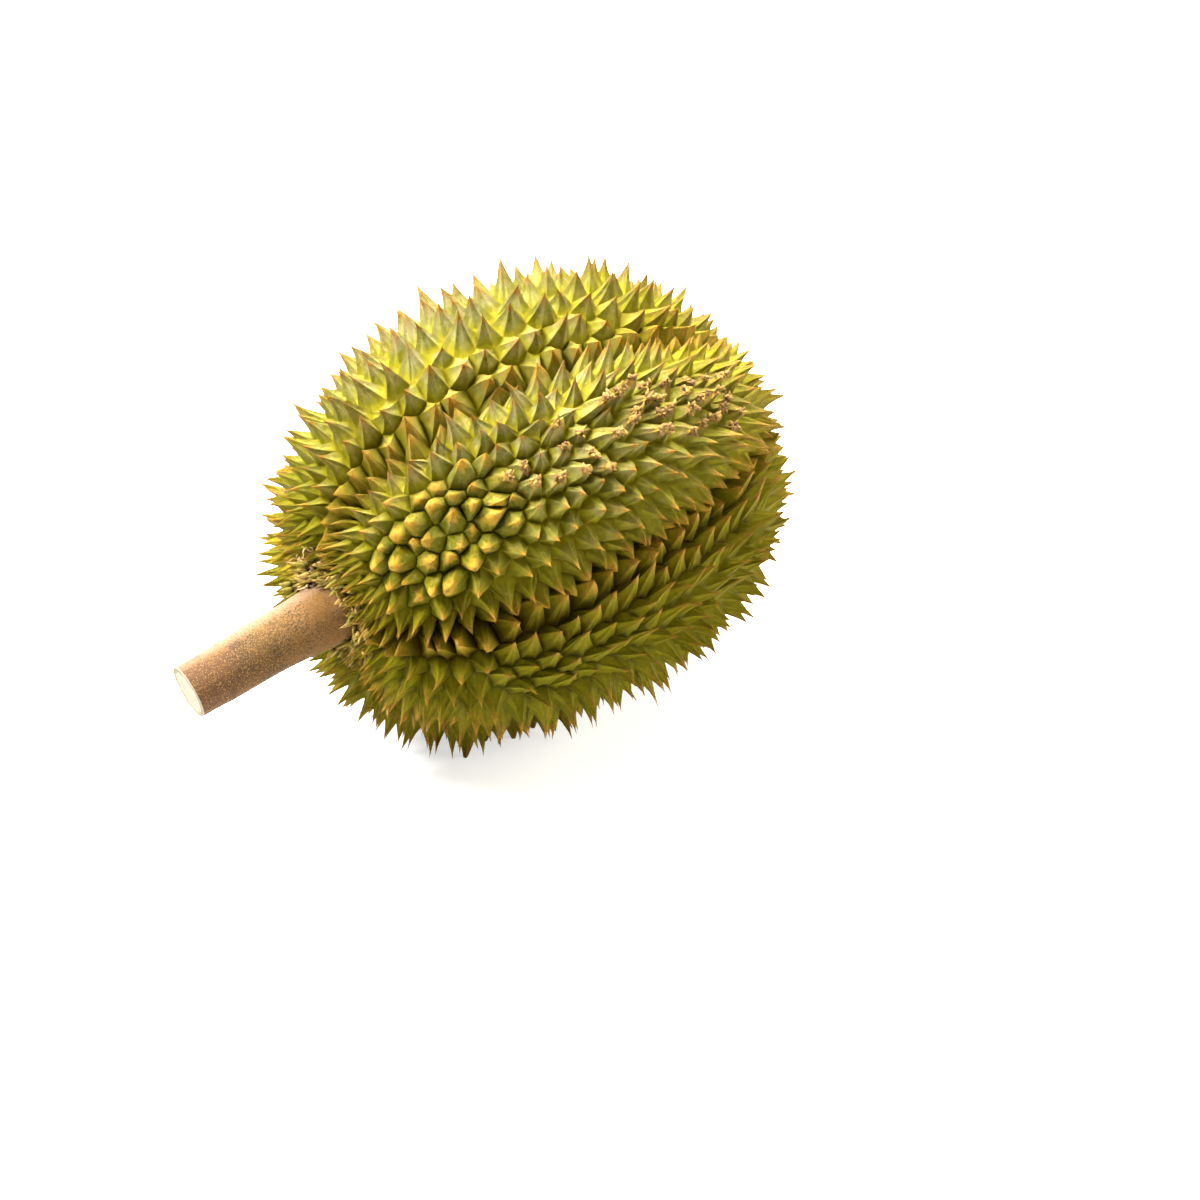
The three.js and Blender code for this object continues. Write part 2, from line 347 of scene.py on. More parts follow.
huskShape = {
    # up each side of a thorn: the height of each row of points, and the parts that the row is in
    "rows": [(0, 4), (0.13, 3), (0.33, 3), (0.58, 2), (0.82, 1), (1, 0)],
    # over 1 a thorn is drawn in to a spike, under 1 it is a dome: on top of the fruit, and low down
    "flare": (1.4, 1.65),
    "flareSpread": 0.16,
    "seamFlare": 1.0, "nubFlare": 0.62, "frayedFlare": 0.72,
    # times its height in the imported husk: on top of the fruit, and low down
    "height": ((0.72, 1.02), (0.88, 1.14)),
    "nubHeight": (0.3, 0.85),
    "frayedHeight": (0.66, 0.88),
    "lowDown": (90 * mm, 150 * mm),
    # how far a thorn's faces dip between its ridges; a nub's are domed
    "hollow": 0.24, "seamHollow": 0.02, "nubHollow": -0.12,
    "bend": 0.26,               # how far a thorn's middle bows, for its height
    "nubBend": 0.3,             # of that, for a nub
    "valley": 0.13,             # how deep the valleys between thorns are, for their length
    "unevenness": ((110, 0.3 * mm), (430, 0.13 * mm)),      # how close, and how deep
    "stray": 0.18,              # how far a tip strays, for its thorn's width
    "wildStray": 1.6,           # times that, for nubs and swept thorns
    "spread": (0.2, 0.6),       # how much wider or narrower one thorn may be, and one nub
    "bruising": 0.8,            # the part of the bruised thorns that are frayed
    "wornPast": 0.3,            # how far past the floor a worn thorn goes, for its height; it is cut there
    # which way thorns lean where they are swept back, and where they are lifted
    "sweep": (0.05, 0.55), "sweepLean": Vector((0, 0.2, 0.1)),
    "lift": (0.6, 1.0), "liftLean": Vector((0.3, 0.1, 0.9)),
    "seams": [(-15, 10), (56, 6), (142, -4), (214, 3), (277, -6)],  # angle in degrees, and twist
    "seamReach": (5, 15),       # degrees from a seam over which its thorns are fat and rounded
    "stalkReach": (15 * mm, 26 * mm),       # from its axis, over which thorns go from dry to fresh
}

# What each thorn's faces carry for the finish, and what the stalk's well carries.
huskMarks = ("own", "frayed", "seam", "nub", "nearStalk", "yellowed")
wellMarks = (0.5, 0, 0, 0, 1, 0)

# Places on the husk where the thorns differ. A zone runs between two places, and reaches out
# from there.
zones = {
    "nubs": (Vector((-36, -52, 138)) * mm, Vector((-58, -46, 120)) * mm, 25 * mm),
    "bruised": (Vector((10, -57, 158)) * mm, Vector((76, -58, 153)) * mm, 17 * mm),
    "swept": (Vector((25, -52, 150)) * mm, Vector((95, -52, 135)) * mm, 34 * mm),
    "chafed": (Vector((5, -67, 149)) * mm, Vector((-20, -57, 146)) * mm, 10 * mm),
    "lifted": (Vector((-22, -76, 76)) * mm, Vector((102, -64, 96)) * mm, 27 * mm),
    "yellowed": (Vector((-68, 31, 90)) * mm, Vector((-70, 17, 90)) * mm, 12 * mm),
}


def inZone(point, name):
    start, end, reach = zones[name]
    line = end - start
    share = min(max((point - start).dot(line) / line.length_squared, 0), 1)
    distance = (point - start - line * share).length
    return 1 - smooth(0.55 * reach, reach, distance)


# How far a point is from the stalk's axis or, where that axis runs on deep in the fruit, from the
# stalk's seated end.
def fromStalkAxis(point):
    base, direction, _ = stalkLine()
    fromBase = point - base
    if fromBase.dot(direction) < -stalkSeat["deep"]:
        return fromBase.length
    return fromBase.cross(direction).length


def seamCloseness(thorn):
    gaps = []
    for angle, twist in huskShape["seams"]:
        gap = (thorn["angle"] - angle - twist * thorn["along"] + 180) % 360 - 180
        gaps.append(abs(gap))
    return 1 - smooth(*huskShape["seamReach"], min(gaps))


def shapeThorn(thorn, rng):
    shape = huskShape
    base, tip = thorn["base"], thorn["tip"]
    nub, swept = inZone(base, "nubs"), inZone(base, "swept")
    bruised = max(inZone(base, "bruised"), inZone(base, "chafed"))
    seam = seamCloseness(thorn)
    low = 1 - smooth(*shape["lowDown"], base.z)
    thorn["seam"], thorn["nub"], thorn["yellowed"] = seam, nub, inZone(base, "yellowed")
    thorn["nearStalk"] = 1 - smooth(*shape["stalkReach"], fromStalkAxis(base))
    thorn["own"] = rng.random()
    most = shape["bruising"] * bruised
    thorn["frayed"] = bruised if rng.random() < most else most * rng.random()
    height = (tip - base).length
    spike = (tip - base).normalized()
    if thorn["worn"]:
        thorn["flare"], thorn["hollow"], thorn["bow"] = 1.0, 0.0, Vector()
        return
    spike -= towardStalk * rng.uniform(*shape["sweep"]) * swept + shape["sweepLean"] * swept
    spike += shape["liftLean"] * inZone(base, "lifted") * rng.uniform(*shape["lift"])
    spike.normalize()
    tall = mix(rng.uniform(*shape["height"][0]), rng.uniform(*shape["height"][1]), low)
    height *= mix(tall, rng.uniform(*shape["nubHeight"]), nub)
    if thorn["frayed"] > 0.5:
        height *= rng.uniform(*shape["frayedHeight"])
    wild = mix(1, shape["wildStray"], max(swept, nub))
    stray = randomWay(rng) * shape["stray"] * thorn["width"] * wild
    thorn["tip"] = base + spike * height + stray
    flare = mix(mix(mix(*shape["flare"], low), shape["seamFlare"], seam), shape["nubFlare"], nub)
    thorn["flare"] = flare + rng.uniform(-shape["flareSpread"], shape["flareSpread"])
    if thorn["frayed"] > 0.5:
        thorn["flare"] = shape["frayedFlare"]
    thorn["hollow"] = mix(mix(shape["hollow"], shape["seamHollow"], seam), shape["nubHollow"], nub)
    sideways = randomWay(rng) - towardStalk * 0.5
    sideways -= spike * sideways.dot(spike)
    thorn["bow"] = sideways * shape["bend"] * height * mix(1, shape["nubBend"], nub)


# The triangles between two rows of points, taking the next point of whichever row is behind.
def zipRows(low, high):
    faces, i, j = [], 0, 0
    while i + 1 < len(low) or j + 1 < len(high):
        if j + 1 == len(high) or (i + 1) * (len(high) - 1) <= (j + 1) * (len(low) - 1):
            faces.append((low[i], low[i + 1], high[j]))
            i += 1
        else:
            faces.append((low[i], high[j + 1], high[j]))
            j += 1
    return faces


# The husk's fine surface: points, the faces between them, and what each carries. Points that
# neighbours share have a key, so they are made once.
class HuskSkin:
    def __init__(self, corners):
        self.corners = corners
        self.points, self.heights, self.ridges = [], [], []
        self.faces, self.marks, self.creases = [], [], set()
        self.shared = {}

    def add(self, key, point, height, ridge):
        if key is not None and key in self.shared:
            return self.shared[key]
        (broadScale, broad), (fineScale, fine) = huskShape["unevenness"]
        waves = noise.noise_vector(point * broadScale) * broad
        point = point + waves + noise.noise_vector(point * fineScale) * fine
        point.z = max(point.z, 0)
        self.points.append(point)
        self.heights.append(height)
        self.ridges.append(ridge)
        if key is not None:
            self.shared[key] = len(self.points) - 1
        return len(self.points) - 1

    def valleyPoint(self, a, b, share):
        start, end = self.corners[a], self.corners[b]
        dip = huskShape["valley"] * (end - start).length * 4 * share * (1 - share)
        point = start.lerp(end, share)
        return point - outwardAt(point) * dip

    def valley(self, a, b):
        parts = huskShape["rows"][0][1]
        ids = [self.add(("corner", a), self.corners[a], 0, 1)]
        for k in range(1, parts):
            low, step = (a, k) if a < b else (b, parts - k)
            share = k / parts
            key = ("edge", low, max(a, b), step)
            ids.append(self.add(key, self.valleyPoint(a, b, share), 0, abs(2 * share - 1)))
        ids.append(self.add(("corner", b), self.corners[b], 0, 1))
        return ids

    # One side of a thorn, from the valley between two of its corners up to its tip.
    def addSide(self, number, thorn, a, b):
        rows = [self.valley(a, b)]
        base, tip = thorn["base"], thorn["tip"]
        for i, (height, parts) in enumerate(huskShape["rows"][1:], 1):
            shrink = (1 - height) ** thorn["flare"]
            middle = base.lerp(tip, height) + thorn["bow"] * (height - height * height)
            row = []
            for k in range(parts + 1):
                share = k / parts if parts else 0
                waist = 1 - thorn["hollow"] * 4 * share * (1 - share) * math.sin(math.pi * height)
                point = middle + (self.valleyPoint(a, b, share) - base) * shrink * waist
                key = None
                if not parts:
                    key = ("tip", number)
                elif k in (0, parts):
                    key = ("ridge", number, b if k else a, i)
                row.append(self.add(key, point, height, abs(2 * share - 1)))
            rows.append(row)
        mark = tuple(thorn[name] for name in huskMarks)
        for low, high in zip(rows, rows[1:]):
            for face in zipRows(low, high):
                self.faces.append(face)
                self.marks.append(mark)
            if thorn["nub"] < 0.5 or thorn["own"] > 0.6:
                self.crease(low[0], high[0])
                self.crease(low[-1], high[-1])
        if max(thorn["nub"], thorn["seam"]) > 0.4:
            for first, second in zip(rows[0], rows[0][1:]):
                self.crease(first, second)

    def crease(self, a, b):
        self.creases.add((min(a, b), max(a, b)))

    def addWell(self, triangle, kinds):
        rim = [k for k in range(3) if kinds[triangle[k]] == "corner"]
        ids = [self.wellPoint(i, kinds) for i in triangle]
        if len(rim) < 2:
            self.faces.append(tuple(ids))
            self.marks.append(wellMarks)
            return
        k = 3 - sum(rim)
        valley = self.valley(triangle[(k + 1) % 3], triangle[(k + 2) % 3])
        for first, second in zip(valley, valley[1:]):
            self.faces.append((first, second, ids[k]))
            self.marks.append(wellMarks)

    def wellPoint(self, i, kinds):
        kind = "corner" if kinds[i] == "corner" else "well"
        return self.add((kind, i), self.corners[i], 0, 1)


def paint(mesh, name, values, domain="POINT", kind="FLOAT"):
    mesh.attributes.new(name, kind, domain).data.foreach_set("value", values)


# Spreads some thorns at the cost of their neighbours, so that no two are alike.
def spreadThorns(rng):
    moves = [[] for _ in points]
    for thorn in thorns:
        spread = rng.uniform(-1, 1) * mix(*huskShape["spread"], inZone(thorn["base"], "nubs"))
        for a, _ in thorn["sides"]:
            moves[a].append((points[a] - thorn["base"]) * spread)
    return [
        point + sum(found, Vector()) / max(len(found), 1) for point, found in zip(points, moves)
    ]


points, triangles = mergedHusk()
kinds = sortPoints(points, triangles)
thorns, well = layThorns(points, triangles, kinds)
print(f"husk: {len(thorns)} thorns laid out, {sum(t['worn'] for t in thorns)} of them worn flat")


def buildHusk():
    rng = random.Random(fruit["seed"])
    noise.seed_set(fruit["seed"])       # left alone, noise_vector starts from the clock
    for thorn in thorns:
        shapeThorn(thorn, rng)
    skin = HuskSkin(spreadThorns(rng))
    for number, thorn in enumerate(thorns):
        for a, b in thorn["sides"]:
            skin.addSide(number, thorn, a, b)
    for triangle in well:
        skin.addWell(triangle, kinds)

    mesh = bpy.data.meshes.new("huskSkin")
    mesh.from_pydata(skin.points, [], skin.faces)
    mesh.shade_smooth()
    creases = [tuple(sorted(edge.vertices)) in skin.creases for edge in mesh.edges]
    paint(mesh, "sharp_edge", creases, "EDGE", "BOOLEAN")
    paint(mesh, "height", skin.heights)
    paint(mesh, "ridge", skin.ridges)
    for k, name in enumerate(huskMarks):
        paint(mesh, name, [mark[k] for mark in skin.marks], "FACE")
    husk = addObject("huskSkin", mesh)
    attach(husk, "root")
    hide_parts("husk")
    return husk


huskColours = {
    # painted light: the bright lime of lit valleys; shadeValley is its painted-shade copy
    "valley": (0.158, 0.13, 0.001, 1),
    "shadeValley": (0.03, 0.028, 0.0004, 1),
    # dark green between the nubs: partly the rind's own green, partly painted shade in those creases
    "nubValley": (0.02, 0.028, 0.002, 1),
    # painted shade: dark brown deep in the seams
    "seamShade": (0.04, 0.019, 0.0004, 1),
    # the thorns' own yellow at their feet and in streaks, also used as painted light on lit feet and seam
    # flanks
    "foot": (0.18, 0.162, 0.004, 1),
    "flank": (0.12, 0.125, 0.0015, 1),
    "greyFlank": (0.18, 0.18, 0.01, 1),
    # painted sheen: a whitish flank for the lit faces
    "paintedSheenFlank": (0.31, 0.305, 0.165, 1),
    "oliveFlank": (0.165, 0.139, 0.0008, 1),
    "shadeFlank": (0.098, 0.09, 0.0006, 1),
    "goldFlank": (0.22, 0.145, 0.0015, 1),
    # dark olive nub sides: partly their own green, partly painted shade below the crowns
    "nubFlank": (0.056, 0.06, 0.001, 1),
    "nubCrown": (0.28, 0.18, 0.014, 1),
    "yellowed": (0.34, 0.25, 0.015, 1),
    # the shoulder's pale tan as painted light, and its darker painted-shade copy
    "shoulder": (0.29, 0.2, 0.075, 1),
    "shadeShoulder": (0.205, 0.136, 0.008, 1),
    "tip": (0.17, 0.084, 0.01, 1),
    "point": (0.06, 0.023, 0.005, 1),
    "frayed": (0.26, 0.165, 0.03, 1),
    "torn": (0.062, 0.028, 0.005, 1),
    "dry": (0.2, 0.12, 0.035, 1),
    "speck": (0.06, 0.026, 0.008, 1),
}


# What the rind's colours go by: what the faces carry, patterns, places on the fruit, and a painted-light
# mask.
def rindMasks(tree):
    masks = {name: attribute(tree, name) for name in ("height", "ridge", *huskMarks)}
    place = addNode(tree, "TexCoord").outputs["Object"]
    masks["patches"] = addNoise(tree, place, 26.0, 3.0)
    masks["mottle"] = addNoise(tree, place, 480.0, 6.0, 0.7)
    masks["stains"] = addNoise(tree, place, 150.0, 5.0, 0.66)
    alongThorn = addNode(tree, "CombineXYZ", {
        "X": multiply(tree, masks["ridge"], 8.0),
        "Y": multiply(tree, masks["height"], 1.6),
        "Z": multiply(tree, masks["own"], 97.0),
    }).outputs[0]
    masks["streaks"] = addNoise(tree, alongThorn, 2.4, 6.0, 0.68)
    masks["pores"] = addCells(tree, place, 760.0)

    # painted light on top and painted shade below, ripe toward the far end, and both less so round the back
    axes = addNode(tree, "SeparateXYZ", {"Vector": place}).outputs
    level = add(tree, axes["Z"], multiply(tree, masks["patches"], 0.05))
    farFlank = multiply(tree, mapTo(tree, axes["X"], -0.02, -0.085), mapTo(tree, axes["Y"], -0.02, 0.03))
    shaded = mapTo(tree, farFlank, 0.0, 1.0, 1.0, 0.45)
    paintedLight = multiply(tree, mapTo(tree, level, 0.105, 0.18), shaded)
    patchy = mapTo(tree, masks["patches"], 0.25, 0.55, 0.4, 1.0)
    ripe = multiply(tree, mapTo(tree, axes["X"], 0.0, 0.08), patchy)
    backFade = mapTo(tree, axes["Y"], 0.035, 0.08, 1.0, 0.5)
    masks["paintedLight"], masks["ripe"] = multiply(tree, paintedLight, backFade), multiply(tree, ripe, backFade)
    rounded = combine(tree, "MAXIMUM", masks["nub"], multiply(tree, masks["seam"], 0.5))
    masks["rounded"] = rounded

    # how near a thorn's tip, unevenly and sooner along its ridges
    reach = add(tree, masks["height"], mapTo(tree, masks["mottle"], 0.3, 0.7, -0.2, 0.2))
    masks["reach"] = add(tree, reach, mapTo(tree, masks["ridge"], 0.7, 1.0, 0.0, 0.16))
    return masks


# The green of a thorn's sides, from thorn to thorn and place to place, with painted sheen on the lit side
# and painted shade elsewhere.
def flankColour(tree, masks):
    colours = huskColours
    own, nub, seam, paintedLight, ripe = (masks[k] for k in ("own", "nub", "seam", "paintedLight", "ripe"))
    mottle, stains, patches = masks["mottle"], masks["stains"], masks["patches"]
    flank = blendColours(tree, mapTo(tree, own, 0.1, 0.9), colours["flank"], colours["greyFlank"])
    # painted sheen: a whitish flank where the painted light is strong
    paler = multiply(tree, mapTo(tree, paintedLight, 0.35, 1.0), mapTo(tree, stains, 0.35, 0.6, 0.1, 0.85))
    flank = blendColours(tree, paler, flank, colours["paintedSheenFlank"])
    flank = blendColours(tree, ripe, flank, colours["oliveFlank"])
    gold = add(tree, patches, multiply(tree, seam, 0.12))
    flank = blendColours(tree, mapTo(tree, gold, 0.52, 0.72, 0.0, 0.7), flank, colours["goldFlank"])
    # painted shade on the flanks away from the painted light
    flank = blendColours(tree, mapTo(tree, paintedLight, 0.0, 1.0, 0.65, 0.0), flank, colours["shadeFlank"])
    # nub sides: their own dark green and painted shade below the crowns
    greened = multiply(tree, nub, mapTo(tree, own, 0.0, 1.0, 0.95, 0.6))
    flank = blendColours(tree, greened, flank, colours["nubFlank"])
    streaked = mapTo(tree, masks["streaks"], 0.5, 0.75, 0.0, 0.5)
    flank = blendColours(tree, streaked, flank, colours["foot"])
    flank = blendColours(tree, mapTo(tree, mottle, 0.52, 0.36, 0.0, 0.55), flank, colours["shadeFlank"])
    # painted sheen in small flecks on the lit side, less toward the far end
    flecks = multiply(tree, mapTo(tree, mottle, 0.56, 0.66, 0.0, 0.6), paintedLight)
    flecks = multiply(tree, flecks, mapTo(tree, ripe, 0.0, 1.0, 1.0, 0.3))
    flank = blendColours(tree, flecks, flank, colours["paintedSheenFlank"])
    # painted light: seam flanks on the lit side take the bright yellow of the feet
    return blendColours(tree, multiply(tree, multiply(tree, seam, paintedLight), 0.35), flank, colours["foot"])


# From the valleys between thorns up their feet to their sides, with painted light and painted shade in the
# valleys and feet.
def valleyColour(tree, masks, flank):
    colours = huskColours
    height, nub, seam, paintedLight = (masks[k] for k in ("height", "nub", "seam", "paintedLight"))
    # painted light: bright lime valleys where the painted light is high and toward the far end, painted
    # shade elsewhere
    lit = combine(tree, "MAXIMUM", paintedLight, multiply(tree, masks["ripe"], 0.85))
    valley = blendColours(tree, lit, colours["shadeValley"], colours["valley"])
    # between nubs: the rind's own dark green and painted shade in the creases
    valley = blendColours(tree, nub, valley, colours["nubValley"])
    # painted shade: dark brown in the seams' valleys away from the painted light
    inSeam = multiply(tree, seam, mapTo(tree, paintedLight, 0.3, 1.0, 0.9, 0.12))
    valley = blendColours(tree, inSeam, valley, colours["seamShade"])
    # painted light: bright yellow feet on the lit side, painted shade on the rest
    bright = multiply(tree, paintedLight, mapTo(tree, nub, 0.0, 0.6, 1.0, 0.0))
    foot = blendColours(tree, bright, colours["shadeFlank"], colours["foot"])
    foot = blendColours(tree, mapTo(tree, height, 0.0, 0.12), valley, foot)
    return blendColours(tree, mapTo(tree, height, 0.08, 0.42), foot, flank)


# Tan shoulders and ridges, brown tips, dark points. Shoulders are paler in painted light and darker in
# painted shade, and seams get painted shade low down.
def tipColour(tree, masks, body):
    colours = huskColours
    height, own, nub, seam, paintedLight = (masks[k] for k in ("height", "own", "nub", "seam", "paintedLight"))
    mottle, stains, reach, rounded = (masks[k] for k in ("mottle", "stains", "reach", "rounded"))
    unripe = mapTo(tree, masks["ripe"], 0.0, 1.0, 1.0, 0.4)
    # painted light: pale shoulders where the painted light is high, less toward the far end; darker painted
    # shade elsewhere
    paintedLitShare = multiply(tree, mapTo(tree, paintedLight, 0.5, 1.0), unripe)
    shoulder = blendColours(tree, paintedLitShare, colours["shadeShoulder"], colours["shoulder"])
    crown = blendColours(tree, mapTo(tree, rounded, 0.2, 0.6), shoulder, colours["nubCrown"])
    high = mapTo(tree, height, 0.2, 0.65, 0.12, 0.8)
    body = blendColours(tree, multiply(tree, mapTo(tree, stains, 0.47, 0.63), high), body, crown)
    bare = multiply(tree, nub, mapTo(tree, own, 0.0, 1.0, 0.0, 0.3))
    crowned = combine(tree, "SUBTRACT", reach, bare)
    body = blendColours(tree, mapTo(tree, crowned, 0.5, 0.92, 0.0, 0.9), body, crown)
    edge = multiply(tree, mapTo(tree, masks["ridge"], 0.84, 0.98), mapTo(tree, height, 0.15, 0.6))
    edge = multiply(tree, edge, mapTo(tree, mottle, 0.32, 0.55, 0.05, 0.7))
    edge = multiply(tree, edge, mapTo(tree, nub, 0.3, 0.8, 1.0, 0.2))
    body = blendColours(tree, edge, body, crown)
    pointed = mapTo(tree, rounded, 0.6, 0.1)
    browned = mapTo(tree, multiply(tree, own, pointed), 0.0, 0.5, 0.55, 1.0)
    brown = multiply(tree, mapTo(tree, reach, 0.62, 0.92), browned)
    body = blendColours(tree, brown, body, colours["tip"])
    dark = multiply(tree, mapTo(tree, height, 0.9, 1.0), browned)
    body = blendColours(tree, dark, body, colours["point"])
    # painted shade: dark brown low on the seam thorns away from the painted light
    grooveShade = multiply(tree, seam, mapTo(tree, paintedLight, 0.0, 0.7, 0.8, 0.0))
    grooveShade = multiply(tree, grooveShade, mapTo(tree, height, 0.6, 0.15))
    return blendColours(tree, grooveShade, body, colours["seamShade"])


# Torn tips, dry tissue near the stalk, a yellowed patch, and small corky dots high on the thorns.
def wearColour(tree, masks, body):
    colours = huskColours
    height, mottle, nub = masks["height"], masks["mottle"], masks["nub"]
    torn = multiply(tree, masks["frayed"], mapTo(tree, masks["reach"], 0.45, 0.85))
    fibre = blendColours(tree, mapTo(tree, mottle, 0.46, 0.56), colours["torn"], colours["frayed"])
    body = blendColours(tree, torn, body, fibre)
    dried = multiply(tree, masks["nearStalk"], mapTo(tree, mottle, 0.35, 0.65, 0.0, 0.5))
    body = blendColours(tree, dried, body, colours["dry"])
    body = blendColours(tree, multiply(tree, masks["yellowed"], 0.7), body, colours["yellowed"])
    rusty = multiply(tree, mapTo(tree, height, 0.8, 0.97), mapTo(tree, masks["stains"], 0.42, 0.55))
    rusty = multiply(tree, nub, rusty)
    body = blendColours(tree, multiply(tree, rusty, 0.7), body, colours["tip"])
    dots = multiply(tree, mapTo(tree, masks["pores"], 0.26, 0.14), mapTo(tree, masks["patches"], 0.35, 0.6))
    dots = multiply(tree, dots, mapTo(tree, height, 0.15, 0.7, 0.25, 1.0))
    return blendColours(tree, multiply(tree, dots, 0.75), body, colours["speck"])


def huskMaterial():
    material, tree, shader = startMaterial("huskRind")
    masks = rindMasks(tree)
    body = valleyColour(tree, masks, flankColour(tree, masks))
    body = wearColour(tree, masks, tipColour(tree, masks, body))
    tree.links.new(body, shader.inputs["Base Color"])

    polish = mapTo(tree, masks["nub"], 0.2, 1.0, 1.0, 0.62)
    rough = multiply(tree, mapTo(tree, masks["mottle"], 0.3, 0.7, 0.38, 0.66), polish)
    tree.links.new(rough, shader.inputs["Roughness"])
    shader.inputs["Specular IOR Level"].default_value = 0.22
    shader.inputs["Specular Tint"].default_value = (1.0, 0.85, 0.2, 1)
    addBump(tree, shader, add(tree, masks["streaks"], masks["mottle"]), 0.9, 0.9 * mm)
    return material


husk = buildHusk()
husk.data.materials.append(huskMaterial())
print(f"husk: {len(husk.data.polygons)} faces")


stalkShape = {
    "rings": 120, "sides": 104,
    "seatRadius": 13 * mm,
    "baseRadius": 12.9 * mm,
    "cutRadius": 11.2 * mm,
    "seatDepth": 5.7 * mm,      # how much of it is down in the husk
    "flareLength": 34 * mm,
    "rim": 0.6 * mm,            # the cut edge is rubbed down by this much
    "lumps": 0.38 * mm,
    "pimples": 0.13 * mm,
    "cutRings": 14,
    "cutDish": 0.35 * mm,       # how far the cut face dries in toward its middle
    "cutBack": 0.05 * mm,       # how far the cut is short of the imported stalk's end
    "highlightAngle": 0.5,           # radians round the stalk from its top to the middle of its painted highlight
    # scars of small leaves: distance from the husk, angle round the stalk from its top, size, height
    "scars": [
        (43, 52, 5.5, 0.45), (55, 40, 5, 0.4), (22, 200, 6, 0.4), (61, 250, 5, 0.4), (31, 130, 4, 0.35),
    ],
}


def stalkFrame():
    base, direction, length = stalkLine()
    side = direction.cross(Vector((0, 0, 1))).normalized()
    over = side.cross(direction).normalized()
    return base, direction, side, over, length


# The stalk's radius at a distance above the husk and an angle round it from its top.
def stalkRadius(above, angle):
    flare = math.exp(-(max(above, 0) / stalkShape["flareLength"]) ** 2)
    radius = mix(stalkShape["cutRadius"], stalkShape["baseRadius"], flare)
    radius = mix(stalkShape["seatRadius"] - 0.15 * mm, radius, smooth(1 * mm, 5 * mm, above))
    if above < 0:
        return radius
    place = Vector((math.cos(angle) * 1.2, math.sin(angle) * 1.2, above * 45))
    radius += noise.noise(place) * stalkShape["lumps"] * smooth(0, 8 * mm, above)
    place = Vector((math.cos(angle) * 11, math.sin(angle) * 11, above * 700))
    radius += noise.noise(place) * stalkShape["pimples"]
    for distance, scarAngle, size, height in stalkShape["scars"]:
        turn = (angle - math.radians(scarAngle) + math.pi) % (2 * math.pi) - math.pi
        off = (above - distance * mm) / (size * mm)
        across = turn * 11 / size
        if off < 0:
            lift = math.exp(-(off / 0.9) ** 2)
        else:
            lift = 1 - smooth(0, 0.16, off) * 1.45 + 0.45 * smooth(0.16, 0.7, off)
        radius += height * mm * lift * math.exp(-across ** 4)
    return radius


def buildStalk():
    base, direction, side, over, length = stalkFrame()
    rings, sides = stalkShape["rings"], stalkShape["sides"]
    verts, faces, cuts, runs, tops = [], [], [], [], []

    def addRing(along, radiusAt, cut, run):
        start = len(verts)
        for i in range(sides):
            angle = 2 * math.pi * i / sides
            out = over * math.cos(angle) + side * math.sin(angle)
            verts.append(base + direction * along + out * radiusAt(angle))
            cuts.append(cut)
            runs.append(run)
            tops.append(0.5 + 0.5 * math.cos(angle - stalkShape["highlightAngle"]))
        return start

    def joinRings(low, high):
        for i in range(sides):
            k = (i + 1) % sides
            faces.append((low + i, low + k, high + k, high + i))

    starts = []
    shown = length - stalkShape["seatDepth"] - stalkShape["rim"]
    for ring in range(rings + 1):
        above = mix(-stalkShape["seatDepth"], shown, ring / rings)
        starts.append(addRing(
            above + stalkShape["seatDepth"],
            lambda angle: stalkRadius(above, angle), 0, max(above, 0) / shown,
        ))
    end = length - stalkShape["cutBack"]
    for ring in range(stalkShape["cutRings"]):
        share = 1 - ring / stalkShape["cutRings"]
        dish = stalkShape["cutDish"] * (1 - share ** 6)
        starts.append(addRing(
            end - dish,
            lambda angle: (stalkRadius(shown, angle) - stalkShape["rim"]) * share, share, 1,
        ))
    for low, high in zip(starts, starts[1:]):
        joinRings(low, high)
    middle = base + direction * (end - stalkShape["cutDish"])
    for centre, ring, order in ((base.copy(), starts[0], -1), (middle, starts[-1], 1)):
        verts.append(centre)
        cuts.append(0.01)
        runs.append(0 if order < 0 else 1)
        tops.append(0)
        for i in range(sides):
            pair = (ring + i, ring + (i + 1) % sides)
            faces.append((*pair[::order], len(verts) - 1))

    mesh = bpy.data.meshes.new("stalkBark")
    mesh.from_pydata(verts, [], faces)
    mesh.shade_smooth()
    paint(mesh, "cut", cuts)
    paint(mesh, "run", runs)
    paint(mesh, "topmost", tops)
    stalk = addObject("stalkBark", mesh)
    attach(stalk, "root")
    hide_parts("stalk")
    return stalk


stalkColours = {
    "tan": (0.125, 0.06, 0.015, 1),
    "pink": (0.14, 0.07, 0.026, 1),
    # painted highlight along the stalk's top edge
    "paintedHighlight": (0.2, 0.135, 0.09, 1),
    "rust": (0.04, 0.016, 0.008, 1),
    "moss": (0.022, 0.015, 0.004, 1),
    "soot": (0.016, 0.008, 0.004, 1),
    "fleck": (0.27, 0.15, 0.05, 1),
    "wood": (0.18, 0.165, 0.13, 1),
    "woodEdge": (0.11, 0.1, 0.04, 1),
    "ring": (0.11, 0.085, 0.04, 1),
    "rim": (0.03, 0.015, 0.008, 1),
}


